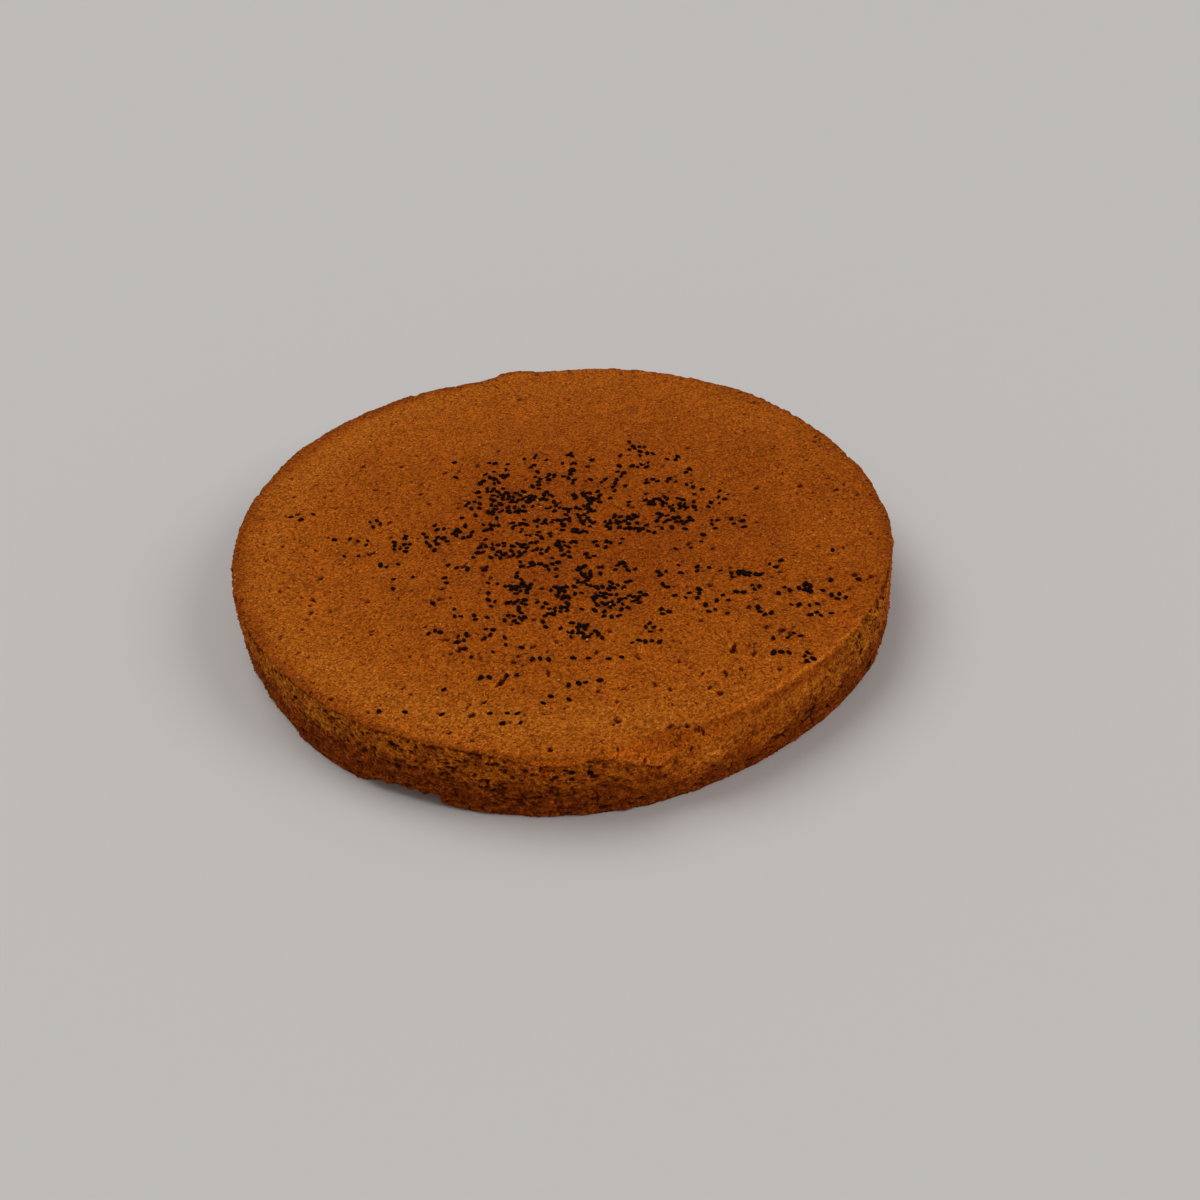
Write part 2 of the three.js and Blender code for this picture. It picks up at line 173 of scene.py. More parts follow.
# The pinches of seeds: middle x and y, spread along x and along y, and the number of seeds.
PINCHES = (
    (-39, 44, 2, 7, 2), (-26, 44, 2.5, 2.5, 6), (-24, 37, 3, 1.8, 11), (-26, 28, 3, 2.6, 8),
    (-34, 21, 2.4, 2, 7), (-21, 24, 3.4, 2, 20), (-8, 22, 4.4, 1.7, 16), (-9, 31, 0.9, 2.6, 5),
    (-6, 48, 4, 2.6, 7), (-3, 36, 3.4, 1.6, 9), (5, 40, 0.9, 6, 11), (13, 38, 1, 6, 4),
    (-25, 13, 1.4, 2.8, 12), (-17, 14, 2.2, 1.6, 9), (-4, 15, 4.5, 1.3, 8), (-34, 11, 2.4, 0.8, 3),
    (-26, 4, 3.8, 1.6, 10), (-38, 1, 3, 3, 8), (-46, -3, 2, 2.6, 6), (-14, 3, 2.4, 2.6, 7),
    (-6, 6, 2.6, 1.6, 10), (-7, -3, 2.8, 1.4, 8), (7, 23, 1.8, 1.3, 7), (13, 20, 1.6, 2.2, 8),
    (10, 14, 1.8, 2, 12), (2, 7, 1.2, 2.4, 7), (10, 6, 1.4, 2.6, 12), (5, -1, 2.4, 1.4, 7),
    (26, 55, 3.6, 3, 7), (34, 50, 2.2, 2.6, 6), (32, 43, 2.4, 0.8, 4), (45, 48, 1.4, 1, 3),
    (24, 38, 1.3, 3, 6), (21, 29, 2.6, 3.2, 6), (50, 38, 1.2, 0.8, 2), (35, 32, 1.8, 1.2, 6),
    (44, 31, 2.4, 1, 6), (52, 26, 1.8, 1.8, 6), (24, 17, 2, 2.2, 3), (37, 19, 2.4, 2.6, 11),
    (42, 15, 1, 2, 7), (47, 16, 1, 2.2, 8), (52, 15, 0.6, 2.2, 5), (58, 15, 0.8, 1, 3),
    (63, 18, 1.6, 3, 5), (39, 8, 2, 1.8, 7), (47, 4, 2, 2.4, 9), (20, 5, 1.6, 2, 11),
    (26, 7, 1.5, 1.5, 9), (26, 0, 4.5, 1.5, 9), (40, 0, 3, 1.2, 3), (57, 2, 2.4, 2.6, 4),
    (68, 2, 2, 3, 5), (-102, 16, 4, 2, 3), (-71, 9, 2.4, 3.6, 4), (-80, 0, 4, 1.4, 5),
    (-80, -10, 2.6, 0.5, 5), (-63, -4, 1.6, 1.8, 5), (-58, -5, 1.2, 2.8, 7), (-51, -1, 1.5, 2.6, 4),
    (-47, 5, 1.4, 2.2, 4), (-62, -16, 3, 0.6, 3), (-61, -29, 0.4, 2, 2), (-50, -34, 5, 5, 3),
    (-41, -19, 2.4, 4.5, 3), (-27, -7, 1.8, 2, 6), (-28, -14, 4, 1.4, 8), (-17, -10, 2.6, 2.6, 15),
    (-8, -11, 2.4, 3.6, 8), (1, -10, 2.4, 1.6, 12), (2, -16, 1, 1.1, 5), (11, -17, 1.4, 1, 4),
    (17, -9, 5, 2.2, 7), (-10, -21, 3.2, 0.9, 7), (-3, -25, 1.4, 3.6, 6), (-33, -22, 3.6, 2.4, 3),
    (-17, -27, 0.7, 1.5, 4), (10, -26, 2.2, 1.6, 8), (21, -24, 3.6, 1.8, 9), (10, -34, 3, 2.4, 11),
    (-27, -32, 3, 0.5, 4), (-15, -35, 2.6, 2.2, 15), (-24, -42, 1.6, 2.6, 5), (-2, -38, 2.6, 2.2, 11),
    (5, -40, 1.3, 0.9, 4), (-15, -44, 1.6, 1.3, 8), (-7, -45, 1.8, 1.2, 6), (1, -48, 0.9, 2.4, 7),
    (-37, -49, 0.8, 2, 3), (-29, -52, 1.4, 1, 4), (-16, -53, 3.2, 2.4, 10), (-3, -54, 1.8, 2.6, 9),
    (-46, -58, 1.6, 1.4, 3), (-26, -62, 1.4, 1.8, 4), (-35, -64, 2.6, 1.4, 5), (-18, -67, 1.8, 1.4, 3),
    (20, -36, 2.2, 2, 9), (37, -28, 1.4, 1, 5), (38, -37, 0.9, 0.8, 4), (50, -27, 4, 2.6, 6),
    (54, -12, 5, 4, 4), (29, -42, 0.9, 1, 3), (15, -42, 3, 0.8, 10), (16, -47, 2.8, 0.8, 10),
    (25, -45, 2.4, 1.1, 7), (9, -51, 1.8, 1.1, 6), (17, -52, 3.6, 2, 6), (37, -53, 0.8, 1.4, 3),
    (44, -43, 1.6, 1.4, 3), (50, -43, 0.8, 1.6, 5), (57, -46, 1.6, 0.8, 3), (53, -53, 2.6, 1.6, 4),
    (6, -59, 1.8, 1.8, 9), (9, -64, 3.4, 1.4, 10), (31, -62, 1.6, 1.4, 6), (30, -69, 3.6, 0.6, 5),
    (62, -32, 1.2, 1.2, 5), (69, -32, 3, 0.9, 9), (70, -41, 1, 1.2, 6), (64, -43, 0.8, 0.6, 3),
    (79, -26, 1.8, 1.4, 3), (80, -42, 1.4, 1.4, 3), (89, -41, 1, 2.2, 8), (98, -46, 3.4, 1.6, 5),
    (104, -36, 3, 8, 3), (88, -51, 3, 0.4, 4), (72, -55, 1.2, 2, 6), (91, -57, 2.8, 0.9, 5),
    (79, -68, 4, 1.4, 4), (79, -78, 4, 1, 5), (85, -82, 1, 1.2, 4), (-30, -72, 5, 1.6, 3),
    (0, -76, 5.5, 0.4, 5), (18, -77, 2, 1.4, 2), (-20, -83, 4.5, 1, 4), (-40, -90, 0.3, 0.3, 1),
    (7, -89, 3, 0.6, 4), (0, -97, 5, 1.2, 3), (-57, -100, 3, 0.9, 2), (-40, -102, 0.3, 0.3, 1),
    (-16, -103, 5, 0.5, 4), (-16, -108, 3.4, 0.5, 2),
)
# The share of seeds that clings to the one before, and its step from it. Seeds of a full pinch lie close
# together, and those of a smaller pinch further apart.
CLING = {"share": 0.06, "near": 1.4, "far": 2.2}
FULL_PINCH = 7
CLEARANCE = {"full": 1.2, "small": 2.2}
STREWN_RADIUS = 119
ATTEMPTS = 5
DRAWS = {"start": 7411, "factor": 48271, "modulus": 2147483647}
FURTHEST_DRAW = 2.4
# Two seeds that stuck to the wall: angle and height.
WALL_SEEDS = ((271.1, 20.6), (273.8, 20.0))

# Tears in the top crust: x, y, length and heading.
TEARS = (
    (59, -74, 6, 85), (77, -65, 4, 20), (80, -67, 3, 120), (-21, -87, 8, 60), (36, -95, 3, 80),
    (21, -93, 3, 60), (-71, -8, 4, 0), (-89, -22, 3, 50), (-90, -35, 4, 110), (12, -73, 3, 100),
    (26, -77, 3, 110), (-5, -83, 4, 90), (-36, -69, 4, 80), (-10, -69, 3, 20), (-2, -67, 3, 110),
    (40, -81, 2, 60), (55, -87, 3, 110), (17, -108, 2, 30), (-27, -97, 3, 30), (-54, -88, 3, 60),
    (-52, -91, 2, 150), (-41, -63, 3, 10), (-36, -20, 4, 60), (5, -36, 3, 110), (35.3, -112, 3.4, 355),
    (38.2, -112.1, 2, 0), (41, -112.6, 2, 350), (43, -112.8, 1.3, 345), (44.8, -113.1, 1.5, 345),
    (46.2, -113.2, 1.2, 345),
)
# A tear's width and the share of its length that adds to it, how far it is bent, its depth, the height of
# its torn edge and how pale that is. On the way in, the edge rises and falls at three shares of the tear's
# hump, and the tear opens between two.
TEAR = {"width": 0.38, "widening": 0.06, "bend": 0.7, "depth": 1.5, "edge": 0.3, "pale": 0.7}
TEAR_EDGE = (0.03, 0.15, 0.35)
TEAR_OPEN = (0.3, 0.65)

# Crumbs: how many, and the smallest and largest radius. Those on the wall lie where it is crumbly enough,
# and those on the base edge below a level, where it doesn't face too far down.
WALL_CRUMBS = {"count": 2300, "smallest": 0.2, "largest": 0.45, "crumbly": 0.5}
BASE_CRUMBS = {"count": 160, "smallest": 0.15, "largest": 0.38, "below": 2, "facing": -0.7}
PALE_CRUMBS = {"count": 300, "smallest": 0.24, "largest": 0.48}
# How far crumbs are dented and stretched, and how much of the radius the middle stands out.
CRUMB_DENTS = (0.75, 1.25)
CRUMB_STRETCH = (0.7, 1.3)
CRUMB_RISE = 0.35

# Linear colours of the bread.
TOP_GOLD = np.array([0.435, 0.098, 0.0042])
TOP_RED = np.array([0.328, 0.0625, 0.0021])
TOP_PALE = np.array([0.475, 0.122, 0.0068])
RIM_BROWN = np.array([0.30, 0.061, 0.0025])
# Painted shade in the crust's pits and tears.
PIT_SHADE = np.array([0.072, 0.0075, 0.0009])
FLAP_ORANGE = np.array([0.57, 0.117, 0.0048])
# Painted shade in the thumb's print.
PRINT_SHADE = np.array([0.34, 0.062, 0.0025])
BEVEL_RED = np.array([0.40, 0.086, 0.0035])
BEVEL_GOLD = np.array([0.49, 0.130, 0.0065])
CREST_GOLD = np.array([0.62, 0.150, 0.0090])
GROOVE_RED = np.array([0.30, 0.058, 0.0025])
# Colours of the open crumb: pale for a painted highlight on the lump's proud bits, gold for a painted
# highlight where it stands proud, red for painted shade where it lies low.
WALL_PALE = np.array([0.85, 0.25, 0.020])
WALL_GOLD_HIGHLIGHT = np.array([0.535, 0.128, 0.005])
WALL_RED_SHADE = np.array([0.285, 0.0485, 0.0021])
DENSE_RED = np.array([0.205, 0.031, 0.0013])
# Painted shade in the pores and cracks of the crumb and in the underside's pores.
PORE_SHADE = np.array([0.055, 0.0082, 0.0007])
# Painted shadow along the torn seam under the crust's border.
SEAM_SHADE = np.array([0.14, 0.021, 0.001])
UNDER_BROWN = np.array([0.27, 0.054, 0.003])
UNDER_DARK = np.array([0.18, 0.030, 0.0015])
# What olive crumb and loose grains multiply the colour around them by; for loose grains it is a painted
# highlight.
OLIVE_SHIFT = np.array([1.05, 1.28, 1.5])
LOOSE_HIGHLIGHT = np.array([1.3, 1.3, 1.3])
CRUMB_PALE = (0.68, 0.28, 0.05, 1)
SEED_BLACK = (0.012, 0.003, 0.0015, 1)
# What flecks, the darkest and lightest grains and the few sparkling ones multiply the colour by.
FLECK = (0.35, 0.25, 0.3, 1)
GRAIN_DARK = (0.5, 0.41, 0.35, 1)
GRAIN_LIGHT = (1.36, 1.46, 1.75, 1)
GRAIN_SPARK = (1.6, 1.8, 2.8, 1)
# Patches of grain are this many times as large as a grain. The draws above which a grain sparkles.
GRAIN_PATCH = 2.5
SPARKLING = (0.89, 0.97)
# Flecks: size, and the noise above which they show.
FLECK_SIZE = 1.5
FLECKED = (0.64, 0.73)
# The grain of each finish: size, spread of its shades, and strength and height of its bump.
BREAD_SAND = {"size": 0.6, "spread": 0.36, "strength": 0.5, "height": 0.2}
PALE_SAND = {"size": 0.5, "spread": 0.25, "strength": 0.4, "height": 0.1}
SEED_SAND = {"size": 0.8, "spread": 0.2, "strength": 0.5, "height": 0.2}
DULL = {"Roughness": 0.9, "Specular IOR Level": 0.05}
SEED_COAT = {"Roughness": 0.5, "Specular IOR Level": 0.02}

# The floor's reach, where it starts to curve up, and how high its rim is.
FLOOR = {"reach": 9000, "level": 3000, "rise": 2600, "cells": 96}
FLOOR_PALE = (0.74, 0.715, 0.685, 1)
# Soft windows: name, place in metres, width in degrees and strength. The dim room around them.
WINDOWS = (("high window", (-1.2, 1.0, 2.4), 44, 1.12), ("side window", (2.2, -0.7, 2.0), 33, 0.68))
ROOM = {"Color": (0.95, 0.96, 1.0, 1), "Strength": 0.25}
# The camera, fitted to the outline of the bread.
CAMERA = {"elevation": 37.46, "roll": -2.43, "distance": 646.3, "target": (13.8, -43.49, 28.66), "lens": 54}


def turn_between(angle, mark):
    """The turn from one angle to another, at most half a turn either way."""
    return (angle - mark + 180) % 360 - 180


def way_round(angle, mark, radius):
    """The way along a circle from one angle to another: the turn in radians times the radius."""
    return np.radians(turn_between(angle, mark)) * radius


def hump(distance, width):
    """A smooth hump: 1 in the middle, and near nothing three widths away."""
    return np.exp(-0.5 * (distance / width) ** 2)


def hump_at(angle, mark, width):
    """A smooth hump round one angle."""
    return hump(turn_between(angle, mark), width)


def hump_on(angle, mark):
    """A smooth hump round a mark's own angle, of its own width."""
    return hump_at(angle, mark["at"], mark["width"])


def humps_at(angle, marks):
    """The sum of a hump for each mark of angle, height and width."""
    return sum(height * hump_at(angle, mark, width) for mark, height, width in marks)


def smooth_step(value, low, high):
    """0 below low, 1 above high, and 3t^2 - 2t^3 between them."""
    share = np.clip((value - low) / (high - low), 0, 1)
    return share ** 2 * (3 - 2 * share)


def blend(share, first, second):
    """Colours on the way from the first to the second, one row for each share."""
    share = np.clip(share, 0, 1)[:, None]
    return (1 - share) * first + share * second


def read_round(marks, angle):
    """The value at each angle, in straight lines between marks of angle and value."""
    return np.interp(angle, *np.transpose(marks), period=360)


def angles_of(points):
    """Each point's angle round the middle, from 0 to 360."""
    return np.degrees(np.arctan2(points[:, 1], points[:, 0])) % 360


def radius_of(points):
    """Each point's distance from the upright line through the middle."""
    return np.hypot(points[:, 0], points[:, 1])


def round_points(radius, angle, height):
    """Points at a radius, an angle and a height: x and y are the radius times the cosine and the sine."""
    direction = np.radians(angle)
    spread = np.broadcast_arrays(radius * np.cos(direction), radius * np.sin(direction), height)
    return np.stack(spread, axis=-1)


def rim_radius(angle):
    """The mean radius, plus a cosine for each wave and a hump for each mark."""
    radius = np.full(np.shape(angle), RADIUS)
    for lobes, height, peak in RIM_WAVES:
        radius = radius + height * np.cos(np.radians(lobes * (angle - peak)))
    for at, out, _, width in RIM_MARKS:
        radius = radius + out * hump_at(angle, at, width)
    return radius


def shoulder_at(angle):
    """The shoulder's reach in and down and the power of its curve, 2 for an arc and 1 for a flat bevel: the
    plain shoulder's, with a hump for each worn place."""
    inset, drop, power = SHOULDER["inset"], SHOULDER["drop"], 2
    for at, further_in, further_down, flat, width in WORN_PLACES:
        share = hump_at(angle, at, width)
        inset = inset + further_in * share
        drop = drop + further_down * share
        power = power - flat * share
    return inset, drop, power


def lean_depth(angle):
    """How far the wall's foot lies in from the rim: a hump for each lean."""
    return humps_at(angle, WALL_LEANS)


def base_edge_radius(angle):
    """The base edge's radius: the whole edge's, with a hump up to the crumbled one's."""
    crumbled = hump_on(angle, BASE_EDGE)
    return BASE_EDGE["whole"] + (BASE_EDGE["crumbled"] - BASE_EDGE["whole"]) * crumbled


def notch_depth(angle):
    """How deep the base edge is notched: a smooth step in at the gentle end and out at the abrupt one."""
    begun = smooth_step(angle, NOTCH["from"] - NOTCH["gentle"], NOTCH["from"] + NOTCH["gentle"])
    ended = smooth_step(angle, NOTCH["to"] - NOTCH["abrupt"], NOTCH["to"] + NOTCH["abrupt"])
    return NOTCH["depth"] * begun * (1 - ended)


def on_wall_lump(angle, level):
    """How far a point lies on the wall's lump, from 0 to 1: a hump along the rim times one up the wall."""
    across = hump_on(angle, WALL_LUMP)
    return across * hump(level - WALL_LUMP["level"], WALL_LUMP["tall"])


def top_height(points):
    """The smooth top's height over each point: a low crown, plus a plane cosine for each swell and a hump
    for each mark, less the thumb dent."""
    x, y = points[:, 0], points[:, 1]
    radius, angle = radius_of(points), angles_of(points)
    height = RIM_HEIGHT + CROWN * (1 - (radius / RADIUS) ** 2)
    for heading, wavelength, rise, phase in SWELLS:
        travel = (x * math.cos(math.radians(heading)) + y * math.sin(math.radians(heading))) / wavelength
        height = height + rise * np.cos(2 * math.pi * travel + math.radians(phase))
    for at, _, up, width in RIM_MARKS:
        height = height + up * hump(RADIUS - radius, MARK_REACH) * hump_at(angle, at, width)
    dented = hump(way_round(angle, DENT["at"], DENT["radius"]), DENT["along"])
    return height - DENT["depth"] * dented * hump(radius - DENT["radius"], DENT["across"])


def hashed(cells, seed):
    """An even draw from 0 to 1 for each lattice cell: its numbers times large primes, mixed by shifts."""
    mixed = cells.astype(np.uint32) * CELL_PRIMES
    mixed = mixed[..., 0] ^ mixed[..., 1] ^ mixed[..., 2] ^ np.uint32(seed * DRAW_STEP + DRAW_START)
    for shift, factor in CELL_MIXING:
        mixed = (mixed ^ (mixed >> np.uint32(shift))) * np.uint32(factor)
    return (mixed ^ (mixed >> np.uint32(LAST_SHIFT))) / 2 ** 32


def lumps(points, size, seed):
    """Smooth noise from -1 to 1: a draw at each corner of a cubic lattice, and between the corners their
    mean, weighted by 6t^5 - 15t^4 + 10t^3 along each axis."""
    corner = np.floor(points / size).astype(np.int64)
    share = points / size - corner
    eased = share ** 3 * (share * (6 * share - 15) + 10)
    total = np.zeros(len(points))
    for step in itertools.product((0, 1), repeat=3):
        weight = np.prod(np.where(step, eased, 1 - eased), axis=1)
        total += weight * hashed(corner + np.array(step), seed)
    return 2 * total - 1


def layers_of(points, layers):
    """The sum of lumps for each layer of height, size and random seed."""
    return sum(height * lumps(points, size, seed) for height, size, seed in layers)


def shifts(points, size, seeds):
    """A smooth shift from -1 to 1 along each axis: lumps of one size, with a random seed for each axis."""
    return np.stack([lumps(points, size, seed) for seed in seeds], axis=1)


def bubbles(points, spacing, smallest, largest, share, seed):
    """The depth of the hollows left by bubbles: a share of the lattice cells hold a ball of drawn middle
    and radius, and a point inside a ball lies as deep as the half chord through it."""
    home = np.floor(points / spacing).astype(np.int64)
    deepest = np.zeros(len(points))
    for step in itertools.product((-1, 0, 1), repeat=3):
        cell = home + np.array(step)
        drawn = np.stack([hashed(cell, seed + k) for k in range(5)], axis=1)
        radius = smallest + (largest - smallest) * drawn[:, 3] ** 2
        gap = np.linalg.norm(points - (cell + drawn[:, :3]) * spacing, axis=1)
        depth = np.sqrt(np.maximum(radius ** 2 - gap ** 2, 0))
        deepest = np.maximum(deepest, np.where(drawn[:, 4] < share, depth, 0))
    return deepest


def disc_grid(cells):
    """A square grid drawn onto a disc: a point's larger coordinate gives its share of the radius, and its
    place along that square ring gives its angle. Also the numbers of the points on the rim, in turn."""
    line = np.linspace(-1, 1, cells + 1)
    along, up = np.meshgrid(line, line)
    sideways = np.abs(along) > np.abs(up)
    reach = np.where(sideways, along, up)
    safe = np.where(reach == 0, 1, reach)
    angle = np.where(sideways, 45 * up / safe, 90 - 45 * along / safe)
    angle = (angle + np.where(reach < 0, 180, 0)) % 360
    share, angle = np.abs(reach).ravel(), angle.ravel()
    rim = np.flatnonzero(share == 1)
    turn = np.round(angle[rim] * 4 * cells / 360) % (4 * cells)
    return share, angle, rim[np.argsort(turn)]


def grid_faces(numbers):
    """Faces between neighbouring rows and columns of point numbers."""
    corners = [numbers[:-1, :-1], numbers[:-1, 1:], numbers[1:, 1:], numbers[1:, :-1]]
    return np.stack(corners, axis=-1).reshape(-1, 4)


def disc_numbers(cells):
    """The numbers of a disc grid's points, in its rows and columns."""
    return np.arange((cells + 1) ** 2).reshape(cells + 1, cells + 1)


def side_profile(angle):
    """The side's profile at each angle, from the brink of the top down: a quarter of a superellipse over
    the shoulder, the leaning wall with its lump, and a quarter arc round the base edge, all set back below
    the notch's uneven ceiling. Gives the radius and height of each step, one column for each angle."""
    outer = rim_radius(angle)
    inset, drop, power = shoulder_at(angle)
    edge = base_edge_radius(angle)
    foot = outer - lean_depth(angle)
    brink = outer - inset
    wall_top = top_height(round_points(brink, angle, 0)) - drop

    quarter = np.radians(np.linspace(90, 0, PROFILE_STEPS)[:, None])
    curve = 2 / power
    shoulder = (brink + inset * np.cos(quarter) ** curve, wall_top + drop * np.sin(quarter) ** curve)

    climb = np.linspace(1, 0, PROFILE_STEPS)[1:, None]
    level = edge + (wall_top - edge) * climb
    wall = (foot + (outer - foot) * climb + WALL_LUMP["out"] * on_wall_lump(angle, level), level)

    under = quarter[::-1][1:]
    base = (foot - edge + edge * np.cos(under), edge - edge * np.sin(under))
    radius, height = [np.vstack(parts) for parts in zip(shoulder, wall, base)]
    ceiling = NOTCH["height"] + lumps(round_points(outer, angle, 0), 3, 63)
    notched = 1 - smooth_step(height, ceiling - NOTCH["soft"], ceiling)
    return radius - notch_depth(angle) * notched, height


def side_skin():
    """The side before its relief: each profile's radius and height at even shares of its length, and the
    way it faces there, across its slope."""
    column = np.arange(COLUMNS) * 360 / COLUMNS
    radius, height = side_profile(column)
    steps = np.hypot(np.diff(radius, axis=0), np.diff(height, axis=0))
    travelled = np.vstack([np.zeros(COLUMNS), np.cumsum(steps, axis=0)])
    shares = np.linspace(0, 1, SIDE_ROWS + 1)
    profiles = zip((travelled / travelled[-1]).T, radius.T, height.T)
    read = [(np.interp(shares, passed, out), np.interp(shares, passed, up)) for passed, out, up in profiles]
    radius, height = np.array(read).transpose(1, 2, 0)

    outward, upward = -np.gradient(height, axis=0), np.gradient(radius, axis=0)
    length = np.hypot(outward, upward)
    points = round_points(radius, column, height)
    facing = round_points(outward, column, upward) / length[..., None]
    return points[1:].reshape(-1, 3), facing[1:].reshape(-1, 3)


def torn_open(points):
    """How far the top crust is torn open, from 0 to 1, and how far the torn edge stands up: each tear is a
    hump along its length times a narrower one across it, both bent by lumps, and its edge is the foot of
    that, with gaps."""
    bent = points[:, :2] + TEAR["bend"] * shifts(points, 1.8, (15, 16))
    widest = np.zeros(len(points))
    for x, y, length, heading in TEARS:
        cosine, sine = math.cos(math.radians(heading)), math.sin(math.radians(heading))
        along = (bent[:, 0] - x) * cosine + (bent[:, 1] - y) * sine
        across = (bent[:, 1] - y) * cosine - (bent[:, 0] - x) * sine
        width = TEAR["width"] + TEAR["widening"] * length
        widest = np.maximum(widest, hump(along, length / 3) * hump(across, width))
    start, full, end = TEAR_EDGE
    edge = smooth_step(widest, start, full) * (1 - smooth_step(widest, full, end))
    gaps = smooth_step(lumps(points, 1.6, 27), -0.2, 0.3)
    return smooth_step(widest, *TEAR_OPEN), edge * gaps


def rim_chips(points, past_rim):
    """How deep the rim's edge is chipped: the upper part of lumps, in a hump across the rim."""
    chipped = np.maximum(lumps(points, CHIPS["size"], 65) - CHIPS["least"], 0)
    return CHIPS["depth"] * chipped * hump(past_rim, CHIPS["width"])


def broad_relief(points):
    """The crust's slow bumps, which the seeds on it follow: lumps of two sizes."""
    return layers_of(points, BROAD_LUMPS)


def crust_relief(points, wide_pits):
    """The browned crust's relief: slow bumps and finer lumps of three sizes, plus the tears' edges, less
    pits of two kinds, shallower at the back, and the tears. Gives the height, how far each point is pitted,
    and how far it is a torn edge."""
    bent = (points + PITS["bend"] * lumps(points, 2, 17)[:, None]) * PITS["stretch"]
    pits = np.maximum(bubbles(bent, *wide_pits), bubbles(bent, *SMALL_PITS))
    pits = pits * (1 - PITS["fading"] * smooth_step(points[:, 1], *PITS["fade"]))
    torn, edge = torn_open(points)
    pits = np.maximum(pits, TEAR["depth"] * torn)
    height = broad_relief(points) + layers_of(points, CRUST_LUMPS)
    return height + TEAR["edge"] * edge - PITS["depth"] * pits, smooth_step(pits, 0.1, 0.6), edge


def toast_of(points):
    """How far the crust is toasted, from 0 to 1: smooth steps up to the middle and to the right, with broad
    patches."""
    toast = TOAST["middle"] * (1 - smooth_step(radius_of(points), *TOAST["radii"]))
    toast = toast + TOAST["right"] * smooth_step(points[:, 0], *TOAST["across"])
    return np.clip(toast + layers_of(points, TOAST_PATCHES), 0, 1)


def crest_of(points, past_brink):
    """How far a point lies on the ridge along the rubbed shoulder's brink, and in the groove below it: a
    hump along the rim times one across it, with lumps."""
    along = hump_on(angles_of(points), RUBBED)
    along = along * (1 + RUBBED["uneven"] * lumps(points, 5, 19))
    return [along * hump(past_brink - mark["past"], mark["width"]) for mark in (RIDGE, GROOVE)]


def crust_tone(points, pitted, edge):
    """The crust's colour: gold, redder where toasted, paler in a ring inside the rim, brown in a band along
    the rim, pale on torn edges, and dark red in the pits and tears as painted shade."""
    angle, radius = angles_of(points), radius_of(points)
    uneven = lumps(points, 6, 18)
    width = read_round(BROWNED, angle)
    inside = rim_radius(angle) - radius - BROWN_BAND["uneven"] * width * uneven
    browned = 1 - smooth_step(inside, BROWN_BAND["solid"] * width, width)
    browned = browned * np.clip(width / BROWN_BAND["full"], 0, 1)
    off_ring = radius + PALE_RING["uneven"] * uneven - PALE_RING["radius"]
    paled = read_round(PALED, angle) * hump(off_ring, PALE_RING["width"])
    tone = blend(toast_of(points), TOP_GOLD, TOP_RED)
    tone = tone * (1 + layers_of(points, CRUST_MOTTLE)[:, None])
    tone = blend(browned, blend(paled, tone, TOP_PALE), RIM_BROWN)
    # Pits and tears are painted dark red as shade.
    return blend(pitted, blend(TEAR["pale"] * edge, tone, CREST_GOLD), PIT_SHADE)


def top_relief(points):
    """The crust's relief all over the top, with the ridge and less the chips at its rim, and its colour."""
    angle = angles_of(points)
    past_brink = radius_of(points) - rim_radius(angle) + shoulder_at(angle)[0]
    crest, _ = crest_of(points, past_brink)
    height, pitted, edge = crust_relief(points, TOP_PITS)
    height = height + RIDGE["height"] * crest - rim_chips(points, past_brink)
    return height, blend(crest, crust_tone(points, pitted, edge), CREST_GOLD)


def crust_border(points, angle, depth, rubbed):
    """Where the browned crust ends on the side: how far each point lies below its ragged border, how far
    crust covers it, and how far it lies in the torn seam under the border, a hump with gaps. The border is
    the crust's plain reach, plus a hump for each flap and lumps of three sizes."""
    reach = CRUST_REACH + humps_at(angle, CRUST_FLAPS)
    ragged = (BORDER["ragged"] + BORDER["flapping"] * reach) * layers_of(points, RAGGED_BORDER)
    past = depth - reach - ragged
    soft = BORDER["soft"] + BORDER["rubbed"] * rubbed
    gaps = smooth_step(layers_of(points, SEAM_GAPS), -0.4, 0.3)
    seam = hump(past - SEAM["past"], SEAM["width"]) * gaps * (1 - SEAM["rubbed"] * rubbed)
    for at, closed, width in HEALED:
        seam = seam * (1 - closed * hump_at(angle, at, width))
    return past, 1 - smooth_step(past, -soft, soft), seam


